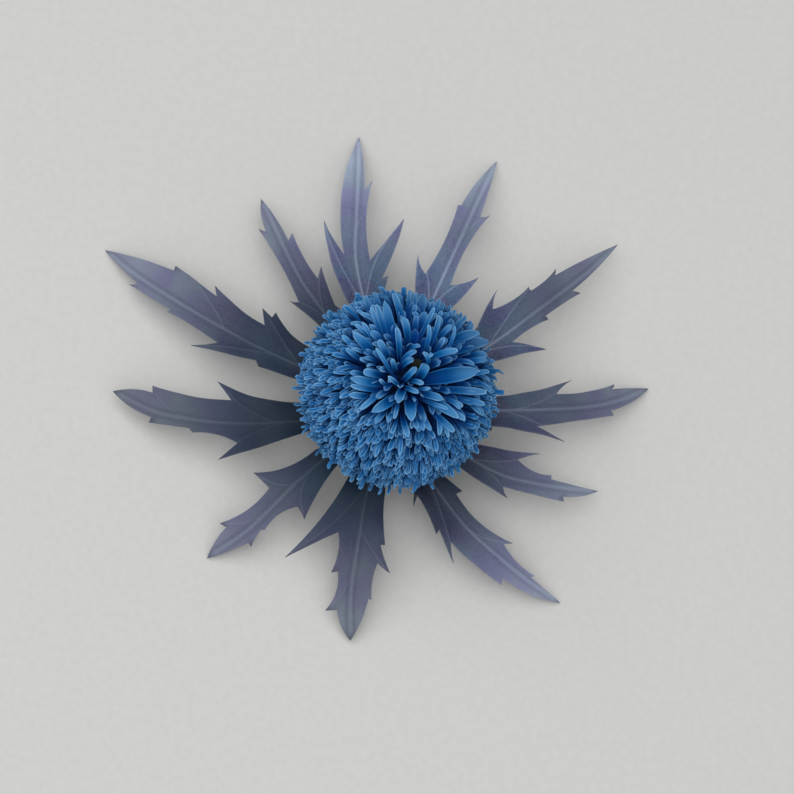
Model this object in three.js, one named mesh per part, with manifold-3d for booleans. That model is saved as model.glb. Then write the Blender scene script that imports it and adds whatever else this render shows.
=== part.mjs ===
import * as THREE from 'three';
import { mergeVertices } from 'three/addons/utils/BufferGeometryUtils.js';
import Module from 'manifold-3d';

// Globe flower head, cut just below its collar and lying face up.
// Millimetres, +Z up along the flower's axis, origin at the centre of the cut face.

// Ball of florets. It is built upright about its own centre, then leans a little off the axis.
const BALL_RADIUS = 15.6;
const BALL_PLACE = [-0.55, 0, 17.7];
const BALL_LEAN = 3.7;
const BALL_LEAN_TOWARD = 20;
const CORE_RADIUS = 10.6;
const CORE_FOOT_DEPTH = 9.85;
const CORE_FOOT_RADIUS = 4.2;
const CORE_SIDES = 16;
const CORE_ROWS = 8;
const FLORET_ROOT_RADIUS = 9.2;
const FLORET_COUNT = 330;
const FLORET_FIRST_POLAR = 14;
const FLORET_LAST_POLAR = 131;
const FLORET_ROOT_WIDTH = 0.95;
const FLORET_TIP_WIDTH = 1.35;
const FLORET_THICKNESS = 0.75;
const FLORET_POINT = 0.7;
const FLORET_SPREAD = 5;
const FLORET_DROP = 7.3;
const SEED = 20741;

// Broad petals of the crown: the direction of the tip and that of the place where the petal comes
// out from under its inner neighbours, each as an angle from the ball's axis and an azimuth, then
// the petal's width.
const CROWN_PETALS = [
  [39, 358, 11, 286, 3.0], [70, 26, 11, 22, 2.8], [50, 110, 19, 140, 1.8], [70, 76, 21, 97, 2.1],
  [35, 263, 23, 257, 2.3], [41, 227, 26, 237, 2.0], [43, 152, 29, 166, 1.9], [40, 309, 21, 280, 1.9],
  [56, 32, 22, 40, 2.0], [28, 243, 19, 241, 1.7], [41, 193, 26, 212, 1.5], [33, 191, 24, 200, 1.4],
  [26, 303, 19, 270, 1.4], [49, 345, 19, 304, 1.3], [29, 106, 15, 111, 1.3], [26, 152, 18, 174, 1.3],
  [23, 18, 7, 30, 1.2], [23, 123, 12, 169, 1.1], [35, 65, 15, 52, 1.0], [40, 71, 18, 83, 0.9],
  [23, 74, 9, 54, 0.9], [21, 208, 19, 233, 0.9], [19, 266, 18, 239, 0.9], [14, 275, 13, 242, 0.9],
  [16, 180, 16, 200, 0.9], [45, 219, 27, 218, 1.0], [43, 198, 30, 216, 1.0], [46, 204, 37, 217, 1.2],
  [56, 100, 27, 106, 1.2], [71, 85, 32, 98, 0.9], [69, 66, 35, 69, 1.0], [68, 54, 35, 58, 0.9],
  [68, 47, 26, 42, 1.2], [76, 112, 38, 132, 1.1], [48, 118, 24, 140, 1.1], [45, 315, 31, 305, 1.1],
  [47, 302, 32, 290, 1.2], [42, 283, 32, 276, 0.9], [41, 276, 33, 271, 1.2], [45, 264, 36, 255, 1.1],
  [45, 235, 35, 236, 1.1], [52, 337, 34, 325, 1.1], [45, 165, 37, 173, 0.9], [53, 3, 36, 354, 0.9],
];
const CROWN_PETAL_THICKNESS = 0.7;
const CROWN_PETAL_TROUGH = 0.3;
const CROWN_PETAL_STEPS = 3;
const CROWN_RISE = 15.9;
const CROWN_SINK = 14.6;
const CROWN_SINK_SLOPE = 0.06;

// Curled petals round the eye
const HEART_COUNT = 8;
const HEART_ROOT_POLAR = 12.5;
const HEART_TIP_POLAR = 8;
const HEART_WIDTH = 1;

// Eye in the middle of the crown, measured from the ball's centre along its axis
const EYE_RADIUS = 1.25;
const EYE_FOOT = 10.9;
const EYE_TOP = 13.9;

// Receptacle and the stub of stem under it
const STUB_RADIUS = 2.9;
const STUB_HEIGHT = 3.4;
const COLLAR_RADIUS = 4.7;
const COLLAR_LOW = 5.2;
const COLLAR_HIGH = 7.0;
const SEAT_RADIUS = 4.1;
const SEAT_HEIGHT = 7.3;
const ROUND_SIDES = 32;

// Bracts of the collar
const BRACT_THICKNESS = 0.7;
const BRACT_ROOT_RADIUS = 5.1;
const BRACT_ROOT_WIDTH = 2.1;
const BRACT_ROOT_HEIGHT = 6.5;
const BRACT_RISE = 0.24;
const BRACT_FOLD = 0.1;
const EDGE_STEP = 2.8;
const MIDRIB_STEP = 2.8;
const ON_THE_SURFACE = BRACT_THICKNESS / 2;

// One entry per bract, anticlockwise seen from above. bearing is the direction of its tip and
// root that of its root, in degrees; reach is the tip's distance from the axis and tipHeight its
// height. midrib holds the points that the midrib runs through, as distance along the bearing
// and distance to the left of it. left and right hold the two edges from the ball to the tip:
// along, across, and how far the edge bows outward from the straight line to that point.
const BRACTS = [
  {
    name: 'bract_01', bearing: 92.9, root: 98.5, reach: 45.8, tipHeight: ON_THE_SURFACE,
    midrib: [[12, 1.7], [19, 3], [24.7, 3.4], [31.4, 2.5], [38.4, 1.3]],
    left: [[16.5, 5.1, -0.2], [30.6, 7.7, 0.9], [24.7, 5.2, -0.2], [45.8, 0, 1.7]],
    right: [[18.6, -0.6, -0.2], [20.9, -1.3, 0], [20.6, -0.3, 0], [30.5, -4.8, 0.3], [23.7, 1.2, 0],
      [37.7, -0.9, -0.9], [36.1, 0.6, -0.1], [45.8, 0, 0.2]],
  },
  {
    name: 'bract_11', bearing: 117.9, root: 127.5, reach: 39.1, tipHeight: 2.6,
    midrib: [[11, 1.5], [17.3, 1.7], [23.7, 2.2], [29.5, 1.7], [33.7, 1]],
    left: [[16.7, 3.5, -0.2], [21.9, 5.5, 0], [21.1, 4.3, -0.2], [34.7, 3.3, -0.2], [33.7, 2.5, -0.1],
      [39.1, 0, 0.4]],
    right: [[16.4, -1.2, -0.2], [18, -0.4, 0], [24.6, -1.7, -0.2], [23.1, -0.2, 0], [31.6, -0.8, -0.4],
      [30.8, 0.4, 0], [39.1, 0, 0.2]],
  },
  {
    name: 'bract_10', bearing: 148.2, root: 157.5, reach: 49.9, tipHeight: ON_THE_SURFACE,
    midrib: [[10, 1.4], [16, 2.2], [23.8, 3.1], [34, 3], [43.8, 1.8]],
    left: [[13.6, 3.9, -0.2], [20.4, 5.7, 0], [21.2, 5, 0], [30.9, 8.1, 0.1], [27.6, 5.7, -0.1],
      [36.7, 5, -0.2], [36.5, 4.4, 0], [43.9, 3.6, 0.1], [42.9, 2.8, -0.2], [49.9, 0, 0.2]],
    right: [[15.4, -1.3, -0.2], [22.5, -3.1, -0.6], [22.6, -2.1, 0], [24.6, -2.7, 0], [22.9, -0.5, 0],
      [32.6, -2.2, -0.5], [31.5, -0.8, 0], [39.4, -2.2, 0], [39.2, -1.4, 0], [49.9, 0, 0.2]],
  },
  {
    name: 'bract_09', bearing: 175.7, root: 192, reach: 42.1, tipHeight: 2.4,
    midrib: [[9.5, 2.6], [14.4, 3.7], [21.6, 4.7], [28.4, 4.7], [35.8, 3.4]],
    left: [[12.4, 5, -0.2], [26, 10.8, 0.2], [23.2, 8, 0], [30, 6.6, -0.6], [30.6, 5.9, 0],
      [36.6, 5.1, 0], [36.3, 4.2, 0], [42.1, 0, 0.5]],
    right: [[13.3, 0.5, -0.2], [26.8, -1.5, -1.1], [24.5, 1.3, 0], [36.4, -0.7, -0.6], [36.3, 0.4, 0],
      [42.1, 0, 0.4]],
  },
  {
    name: 'bract_08', bearing: 219.2, root: 223.5, reach: 35.6, tipHeight: ON_THE_SURFACE,
    midrib: [[9, 0.3], [13.1, 0], [18.6, 0.1], [22.9, 0.5], [29, 0.9]],
    left: [[13, 2.1, -0.2], [21.7, 5.3, -0.3], [21.2, 3.1, -0.1], [27, 2.6, -0.7], [27.4, 2.2, 0],
      [30, 3.2, -0.1], [29.9, 2.4, 0], [35.6, 0, 0.2]],
    right: [[13.4, -2, -0.2], [23, -5.2, -1], [22.6, -1.9, 0], [31.3, -2.7, -0.8], [30.9, -1.6, 0],
      [35.6, 0, 0.3]],
  },
  {
    name: 'bract_07', bearing: 260.8, root: 258, reach: 35.7, tipHeight: 1,
    midrib: [[9.5, -1.1], [14.4, -1.6], [19.1, -1.7], [27.1, -1.6], [31.2, -1.1]],
    left: [[13.5, 1.2, -0.2], [21.5, 2.4, -0.3], [21.6, 1.7, 0], [25.5, 3.9, -0.1], [24.3, 1.8, 0.1],
      [29.7, 1.9, -0.4], [29.6, 1.4, 0], [35.7, 0, 0.3]],
    right: [[12.1, -4.8, -0.2], [25.9, -12.5, -0.7], [20.8, -5, 0], [26.8, -5, -0.5], [26.5, -4, 0],
      [32.3, -4.8, -0.7], [31.9, -3, 0], [35.7, 0, 0.4]],
  },
  {
    name: 'bract_06', bearing: 313.9, root: 298, reach: 39.3, tipHeight: ON_THE_SURFACE,
    midrib: [[9.5, -2.7], [15, -3.9], [21.7, -4.5], [28, -3.6], [33.4, -2.3]],
    left: [[13.5, -1.4, -0.2], [17, -1.1, 0], [16.7, -2.1, 0], [28, -0.5, -1.1], [27.1, -1.7, 0],
      [33.8, -0.9, -0.5], [33.6, -1.5, 0], [39.3, 0, 0]],
    right: [[11.6, -6.1, -0.2], [13.6, -8.5, 0.1], [12.8, -6.8, 0], [19.1, -8.9, -0.3], [18.9, -8, 0],
      [24.1, -9.8, 0.1], [21.4, -7.9, -0.1], [31.4, -6, 0.4], [30.8, -5.2, 0], [39.3, 0, 0.7]],
  },
  {
    name: 'bract_05', bearing: 341.7, root: 329, reach: 35, tipHeight: 2.6,
    midrib: [[9.5, -2.4], [14.8, -3.6], [19.7, -4.2], [23.7, -3.7], [29.1, -2.3]],
    left: [[14.7, -0.9, -0.2], [24.4, 1.2, -0.3], [21.3, -1, -0.1], [27.1, -1.1, -0.7],
      [27.3, -1.7, 0], [35, 0, -0.1]],
    right: [[13.2, -5.4, -0.2], [21.6, -7.3, 0.2], [20.4, -5.8, -0.2], [30.2, -4.1, 0.2],
      [29.9, -3.4, 0], [35, 0, 0.4]],
  },
  {
    name: 'bract_04', bearing: 8.5, root: 1, reach: 42.6, tipHeight: ON_THE_SURFACE,
    midrib: [[10.5, -1.4], [17, -2.5], [22.5, -3], [30.3, -3.1], [36.5, -2.2]],
    left: [[17, -0.3, -0.2], [29.5, 1.3, -0.5], [26.5, -0.8, -0.2], [36.6, 0.5, -0.5], [36, -0.3, 0.1],
      [42.6, 0, 0.1]],
    right: [[14.7, -4.7, -0.2], [15.1, -5.7, 0.1], [15.4, -4.9, 0], [26.5, -8.4, -0.2],
      [22.4, -5.7, 0], [35.5, -4.5, 0.1], [35.2, -3.7, 0.1], [42.6, 0, 0.5]],
  },
  {
    name: 'bract_03', bearing: 37.5, root: 33, reach: 47.5, tipHeight: 2.2,
    midrib: [[12, -1.1], [20.5, -1.6], [28, -1.5], [35.7, -1.3], [41.4, -0.9]],
    left: [[19, 1.9, -0.2], [25.5, 4.8, 0.2], [22.8, 2.7, -0.2], [29.9, 2.3, -0.5], [29.8, 1.6, -0.1],
      [35.6, 2.2, -0.3], [34.8, 1.4, 0], [47.5, 0, 0.1]],
    right: [[17.3, -3.8, -0.2], [25.6, -7.2, -0.1], [22, -3.2, 0.1], [29, -3.6, -0.3], [29, -2.9, 0.1],
      [36.3, -3.1, -0.1], [35.4, -2.1, 0.1], [47.5, 0, 0.3]],
  },
  {
    name: 'bract_02', bearing: 65.5, root: 67, reach: 46.6, tipHeight: ON_THE_SURFACE,
    midrib: [[12, 0.4], [18.6, 0.7], [28.6, 0.6], [34.5, 0.5], [40.5, 0.3]],
    left: [[18.4, 3.5, -0.2], [24.6, 5.6, 0.2], [22.1, 3.4, -0.3], [35.6, 3, -0.5], [35.8, 2.5, 0],
      [46.6, 0, 0.4]],
    right: [[18.4, -2.3, -0.2], [25.4, -4.4, 0.2], [22.2, -0.9, -0.3], [36.4, -2.2, -0.7],
      [35.3, -0.9, -0.2], [46.6, 0, 0.1]],
  },
];

const FLORET_COLOUR = 0x2e6fa8;
const EYE_COLOUR = 0x333d22;
const RECEPTACLE_COLOUR = 0x4a5a50;
const BRACT_COLOUR = 0x4a5368;

const GOLDEN_ANGLE = Math.PI * (3 - Math.sqrt(5));
const radians = THREE.MathUtils.degToRad;

// Repeatable random numbers from 0 to 1
function seeded(seed) {
  let state = seed;
  return () => {
    state = (state * 16807) % 2147483647;
    return state / 2147483647;
  };
}

function material(colour, roughness) {
  return new THREE.MeshStandardMaterial({ color: colour, roughness, metalness: 0 });
}

function indexedGeometry(points, triangles) {
  const geometry = new THREE.BufferGeometry();
  geometry.setAttribute('position', new THREE.Float32BufferAttribute(points.flatMap((p) => p.toArray()), 3));
  geometry.setIndex(triangles.flat());
  geometry.computeVertexNormals();
  return geometry;
}

// ---- Bracts ----

// Points from one edge point to the next along an arc that bows outward by bow
function edgeArc(from, to, bow, outward) {
  const along = to.clone().sub(from);
  const normal = new THREE.Vector2(-along.y, along.x).normalize().multiplyScalar(2 * bow * outward);
  const control = from.clone().add(to).multiplyScalar(0.5).add(normal);
  const steps = bow === 0 ? 1 : Math.max(2, Math.ceil(along.length() / EDGE_STEP));
  return new THREE.QuadraticBezierCurve(from, control, to).getPoints(steps).slice(1);
}

function bractEdge(corner, rows, outward) {
  const points = [corner];
  for (const [along, across, bow] of rows) {
    points.push(...edgeArc(points.at(-1), new THREE.Vector2(along, across), bow, outward));
  }
  return points.slice(0, -1);
}

// Mid-surface height of a bract: it leaves the collar rising, then droops to its tip
function bractHeight(bract, radius) {
  const span = bract.reach - BRACT_ROOT_RADIUS;
  const share = (radius - BRACT_ROOT_RADIUS) / span;
  const rise = BRACT_RISE * span;
  const fall = rise + BRACT_ROOT_HEIGHT - bract.tipHeight;
  return BRACT_ROOT_HEIGHT + rise * share - fall * share * share;
}

function acrossMidrib(midrib, point) {
  const next = Math.max(1, midrib.findIndex((p) => p.x >= point.x));
  const [a, b] = [midrib[next - 1], midrib[next]];
  const share = THREE.MathUtils.clamp((point.x - a.x) / (b.x - a.x), 0, 1);
  return point.y - THREE.MathUtils.lerp(a.y, b.y, share);
}

// Faces between the midrib and one edge, turned anticlockwise
function halfBladeFaces(plan, loop) {
  const contour = loop.map((i) => plan[i]);
  return THREE.ShapeUtils.triangulateShape(contour, []).map((face) => {
    const [a, b, c] = face.map((i) => loop[i]);
    const area = (plan[b].x - plan[a].x) * (plan[c].y - plan[a].y)
      - (plan[c].x - plan[a].x) * (plan[b].y - plan[a].y);
    return area > 0 ? [a, b, c] : [a, c, b];
  });
}

function bractGeometry(bract) {
  const turn = radians(bract.root - bract.bearing);
  const rootAt = (side) => new THREE.Vector2(BRACT_ROOT_RADIUS, side * BRACT_ROOT_WIDTH / 2)
    .rotateAround(new THREE.Vector2(), turn);
  const apex = new THREE.Vector2(bract.reach, 0);
  const ribCurve = new THREE.SplineCurve([
    rootAt(0), ...bract.midrib.map(([x, y]) => new THREE.Vector2(x, y)), apex,
  ]);
  const midrib = ribCurve.getSpacedPoints(Math.round(ribCurve.getLength() / MIDRIB_STEP));
  const left = bractEdge(rootAt(1), bract.left, 1);
  const right = bractEdge(rootAt(-1), bract.right, -1);

  const plan = [...midrib, ...left, ...right];
  const ribIndex = midrib.map((_, i) => i);
  const leftIndex = left.map((_, i) => midrib.length + i);
  const rightIndex = right.map((_, i) => midrib.length + left.length + i);
  const blade = [
    ...halfBladeFaces(plan, [...ribIndex, ...leftIndex.toReversed()]),
    ...halfBladeFaces(plan, [...ribIndex, ...rightIndex.toReversed()]),
  ];

  const surface = (offset) => plan.map((p) => {
    const fold = BRACT_FOLD * Math.abs(acrossMidrib(midrib, p));
    return new THREE.Vector3(p.x, p.y, bractHeight(bract, p.length()) + fold + offset);
  });
  const points = [...surface(BRACT_THICKNESS / 2), ...surface(-BRACT_THICKNESS / 2)];
  const under = plan.length;
  const rim = [0, ...rightIndex, midrib.length - 1, ...leftIndex.toReversed()];
  const walls = rim.flatMap((a, i) => {
    const b = rim[(i + 1) % rim.length];
    return [[a + under, b + under, b], [a + under, b, a]];
  });
  const underside = blade.map(([a, b, c]) => [a + under, c + under, b + under]);
  return indexedGeometry(points, [...blade, ...underside, ...walls]);
}

// ---- Ball of florets ----

const wasm = await Module();
wasm.setup();

function toSolid(geometry) {
  const bare = geometry.clone();
  bare.deleteAttribute('normal');
  bare.deleteAttribute('uv');
  const merged = mergeVertices(bare, 1e-3);
  return new wasm.Manifold(new wasm.Mesh({
    numProp: 3,
    vertProperties: Float32Array.from(merged.attributes.position.array),
    triVerts: Uint32Array.from(merged.index.array),
  }));
}

function toGeometry(solid) {
  const mesh = solid.getMesh();
  const geometry = new THREE.BufferGeometry();
  geometry.setAttribute('position', new THREE.BufferAttribute(mesh.vertProperties, 3));
  geometry.setIndex(new THREE.BufferAttribute(mesh.triVerts, 1));
  geometry.computeVertexNormals();
  return geometry;
}

// Unit vector at an angle from the ball's axis and an azimuth, both in degrees
function direction(polar, azimuth) {
  const flat = Math.sin(radians(polar));
  return new THREE.Vector3(
    flat * Math.cos(radians(azimuth)),
    flat * Math.sin(radians(azimuth)),
    Math.cos(radians(polar)),
  );
}

// Closed skin over a run of sections that all have the same number of corners
function skin(sections, tip) {
  const sides = sections[0].length;
  const points = sections.flat();
  const faces = [];
  for (let row = 0; row + 1 < sections.length; row += 1) {
    for (let i = 0; i < sides; i += 1) {
      const j = (i + 1) % sides;
      const [a, b] = [row * sides + i, row * sides + j];
      faces.push([a, b, b + sides], [a, b + sides, a + sides]);
    }
  }
  const last = (sections.length - 1) * sides;
  for (let i = 1; i + 1 < sides; i += 1) {
    faces.push([0, i + 1, i]);
  }
  if (tip) {
    points.push(tip);
    for (let i = 0; i < sides; i += 1) {
      faces.push([last + i, last + (i + 1) % sides, points.length - 1]);
    }
  } else {
    for (let i = 1; i + 1 < sides; i += 1) {
      faces.push([last, last + i, last + i + 1]);
    }
  }
  return indexedGeometry(points, faces);
}

// Corner of a section: centre moved across the petal and toward its upper face
function corner(centre, side, across, upper, through) {
  return centre.clone().addScaledVector(side, across).addScaledVector(upper, through);
}

// Thin straight floret standing on the core, with a pointed end
function floret(root, tip, side) {
  const along = tip.clone().sub(root).normalize();
  const upper = new THREE.Vector3().crossVectors(along, side);
  const section = (centre, width) => [[-1, -1], [1, -1], [1, 1], [-1, 1]].map(([u, v]) => (
    corner(centre, side, u * width / 2, upper, v * FLORET_THICKNESS / 2)));
  const shoulder = tip.clone().addScaledVector(along, -FLORET_POINT);
  return skin([section(root, FLORET_ROOT_WIDTH), section(shoulder, FLORET_TIP_WIDTH)], tip);
}

// Broad petal of the crown: a trough that rises from the core and bends over to its tip
function crownPetal(tip, base, width, sink, rise) {
  const middle = tip.clone().add(base).normalize();
  const path = new THREE.CubicBezierCurve3(
    base.clone().multiplyScalar(FLORET_ROOT_RADIUS),
    base.clone().multiplyScalar(sink),
    middle.clone().multiplyScalar(rise),
    tip.clone().multiplyScalar(rise),
  );
  const side = middle.clone().cross(tip.clone().sub(base)).normalize();
  const profile = [[-1, 1, -1], [0, 0, -1], [1, 1, -1], [1, 1, 1], [0, 0, 1], [-1, 1, 1]];
  const sections = [];
  for (let step = 0; step <= CROWN_PETAL_STEPS; step += 1) {
    const share = step / CROWN_PETAL_STEPS;
    const centre = path.getPoint(share);
    const upper = new THREE.Vector3().crossVectors(path.getTangent(share), side).normalize();
    const breadth = width * (step === CROWN_PETAL_STEPS ? 0.5 : 0.6 + 0.4 * Math.sin(Math.PI * share));
    sections.push(profile.map(([u, trough, v]) => corner(centre, side, u * breadth / 2, upper,
      trough * CROWN_PETAL_TROUGH * breadth / 2 + v * CROWN_PETAL_THICKNESS / 2)));
  }
  return skin(sections);
}

function coreSolid() {
  const footPolar = Math.PI - Math.asin(CORE_FOOT_RADIUS / CORE_RADIUS);
  const profile = [
    new THREE.Vector2(0, -CORE_FOOT_DEPTH),
    new THREE.Vector2(CORE_FOOT_RADIUS, -CORE_FOOT_DEPTH),
  ];
  for (let row = 1; row < CORE_ROWS; row += 1) {
    const polar = footPolar * (1 - row / CORE_ROWS);
    profile.push(new THREE.Vector2(CORE_RADIUS * Math.sin(polar), CORE_RADIUS * Math.cos(polar)));
  }
  profile.push(new THREE.Vector2(0, CORE_RADIUS));
  const geometry = new THREE.LatheGeometry(profile, CORE_SIDES);
  geometry.rotateX(Math.PI / 2);
  return toSolid(geometry);
}

// Adds the first of the shapes that stands clear of every petal placed so far, if one does
function place(petals, shapes) {
  for (const shape of shapes) {
    const solid = toSolid(shape);
    if (!petals) {
      return solid;
    }
    if (petals.intersect(solid).isEmpty()) {
      return petals.add(solid);
    }
  }
  return petals;
}

// Turns the ball's own frame into the flower's
function settle(geometry) {
  const toward = radians(BALL_LEAN_TOWARD);
  const hinge = new THREE.Vector3(-Math.sin(toward), Math.cos(toward), 0);
  geometry.applyMatrix4(new THREE.Matrix4().makeRotationAxis(hinge, radians(BALL_LEAN)));
  geometry.translate(...BALL_PLACE);
  return geometry;
}

function flowerHead() {
  const random = seeded(SEED);
  const vary = (amount) => (random() * 2 - 1) * amount;
  let petals = null;

  for (let i = 0; i < HEART_COUNT; i += 1) {
    const azimuth = i * 360 / HEART_COUNT;
    const base = direction(HEART_ROOT_POLAR, azimuth);
    const tip = direction(HEART_TIP_POLAR, azimuth);
    petals = place(petals, [crownPetal(tip, base, HEART_WIDTH, CROWN_SINK, BALL_RADIUS - 0.8)]);
  }

  for (const [tipPolar, tipAzimuth, basePolar, baseAzimuth, width] of CROWN_PETALS) {
    const tip = direction(tipPolar, tipAzimuth);
    const base = direction(Math.max(basePolar, HEART_ROOT_POLAR + 4), baseAzimuth);
    const sink = CROWN_SINK - CROWN_SINK_SLOPE * basePolar;
    petals = place(petals, [0, 0.2, 0.4, 0.6].flatMap((share) => {
      const start = base.clone().lerp(tip, share).normalize();
      const breadth = width * (1 - share / 2);
      return [0, 0.5, -0.5].map((lift) => crownPetal(tip, start, breadth, sink + lift, CROWN_RISE + lift));
    }));
  }

  const top = Math.cos(radians(FLORET_FIRST_POLAR));
  const bottom = Math.cos(radians(FLORET_LAST_POLAR));
  for (let i = 0; i < FLORET_COUNT; i += 1) {
    const height = THREE.MathUtils.lerp(top, bottom, (i + 0.5) / FLORET_COUNT);
    const polar = THREE.MathUtils.radToDeg(Math.acos(height));
    const azimuth = THREE.MathUtils.radToDeg(i * GOLDEN_ANGLE);
    const root = direction(polar, azimuth).multiplyScalar(FLORET_ROOT_RADIUS);
    const [lean, turn] = [vary(FLORET_SPREAD), vary(FLORET_SPREAD)];
    const tipRadius = BALL_RADIUS + vary(0.5);
    const side = direction(90, azimuth + 90);
    side.z = vary(0.35);
    side.normalize();
    petals = place(petals, [1, 0.5, 0].map((share) => {
      const tip = direction(polar + share * lean, azimuth + share * turn).multiplyScalar(tipRadius);
      tip.z = Math.max(tip.z, -FLORET_DROP);
      return floret(root, tip, side);
    }));
  }

  return settle(toGeometry(coreSolid().add(petals)));
}

// ---- Eye and receptacle, turned about the axis ----

function turned(profile) {
  const geometry = new THREE.LatheGeometry(profile.map(([r, z]) => new THREE.Vector2(r, z)), ROUND_SIDES);
  geometry.rotateX(Math.PI / 2);
  return geometry;
}

function eyeGeometry() {
  const profile = [[0, EYE_FOOT], [EYE_RADIUS * 0.8, EYE_FOOT], [EYE_RADIUS, EYE_FOOT + 1]];
  for (let step = 0; step < 4; step += 1) {
    const angle = step * Math.PI / 8;
    profile.push([EYE_RADIUS * Math.cos(angle), EYE_TOP - EYE_RADIUS * (1 - Math.sin(angle))]);
  }
  profile.push([0, EYE_TOP]);
  return settle(turned(profile));
}

function receptacleGeometry() {
  return turned([
    [0, 0], [STUB_RADIUS, 0], [STUB_RADIUS, STUB_HEIGHT],
    [STUB_RADIUS + 0.4, STUB_HEIGHT + 0.8], [COLLAR_RADIUS, COLLAR_LOW],
    [COLLAR_RADIUS, COLLAR_HIGH], [SEAT_RADIUS, SEAT_HEIGHT], [0, SEAT_HEIGHT],
  ]);
}

function named(name, geometry, surface) {
  const mesh = new THREE.Mesh(geometry, surface);
  mesh.name = name;
  return mesh;
}

const flower = new THREE.Group();
flower.add(named('receptacle', receptacleGeometry(), material(RECEPTACLE_COLOUR, 0.8)));
flower.add(named('flower_head', flowerHead(), material(FLORET_COLOUR, 0.75)));
flower.add(named('eye', eyeGeometry(), material(EYE_COLOUR, 0.85)));
for (const bract of BRACTS) {
  const mesh = named(bract.name, bractGeometry(bract), material(BRACT_COLOUR, 0.7));
  mesh.rotation.z = radians(bract.bearing);
  flower.add(mesh);
}

export default flower;
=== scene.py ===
"""Looks of a blue globe flower head with a collar of eleven spiny bracts, lying face up.

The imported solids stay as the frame, and finer meshes of the same form replace them. Shapes are
worked out in millimetres and turned into metres when a mesh is made.
"""
import math
import random

import bpy
import numpy as np
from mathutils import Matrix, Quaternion, Vector
from mathutils.geometry import delaunay_2d_cdt


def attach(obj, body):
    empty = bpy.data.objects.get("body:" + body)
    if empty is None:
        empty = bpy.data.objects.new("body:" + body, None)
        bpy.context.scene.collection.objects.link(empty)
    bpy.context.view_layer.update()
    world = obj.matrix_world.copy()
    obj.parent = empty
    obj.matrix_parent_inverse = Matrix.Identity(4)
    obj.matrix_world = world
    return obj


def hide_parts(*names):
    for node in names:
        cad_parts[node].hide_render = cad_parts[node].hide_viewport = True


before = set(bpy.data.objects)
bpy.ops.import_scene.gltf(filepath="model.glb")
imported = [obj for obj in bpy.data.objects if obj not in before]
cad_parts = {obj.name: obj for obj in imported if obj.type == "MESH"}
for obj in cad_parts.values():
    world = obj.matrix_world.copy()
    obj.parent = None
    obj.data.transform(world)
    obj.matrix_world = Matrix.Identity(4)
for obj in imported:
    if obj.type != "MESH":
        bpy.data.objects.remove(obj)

MM = 0.001
SHARP_ANGLE = math.radians(58)     # faces that meet at more than this keep a crisp edge
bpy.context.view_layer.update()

# ---- View ----

VIEW_TILT = 19            # degrees between the line of sight and the flower's axis
VIEW_LEAN = 58            # direction in the picture that the axis leans to, from its right
VIEW_DISTANCE = 2000
VIEW_WIDTH = 121.8        # what the picture's width shows at the collar
VIEW_TARGET = Vector((1.315, 1.888, 7.29))
SENSOR_WIDTH = 36

# ---- Ball ----
# It is built upright about its own centre, then leans a little off the flower's axis.

BALL_RADIUS = 15.6
BALL_PLACE = np.array([-0.55, 0.0, 17.7])
BALL_LEAN = 3.7
BALL_LEAN_TOWARD = 20
FLORET_DROP = 7.6         # how far below the centre a floret's tip may be, clear of the bracts
TUCK_DEPTH = 0.6          # how far florets are sunk where a broad petal lies over them
BED_RADIUS = 10.8
BED_FOOT_DEPTH = 9.85
BED_FOOT_RADIUS = 4.2
PETAL_ROOT_RADIUS = 9.6   # roots of the crown's petals, sunk in the bed
FILL_COUNT = 270
FILL_POLAR = (13, 74)     # band of the ball, from its pole, that the short crown petals are drawn in
FLORET_COUNT = 3500
FLORET_POLAR = (36, 134)
BELT_EDGES = (80, 104)    # polar angles that part the upper, middle and lower florets
SEED = 20741
GOLDEN_ANGLE = math.pi * (3 - math.sqrt(5))

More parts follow.
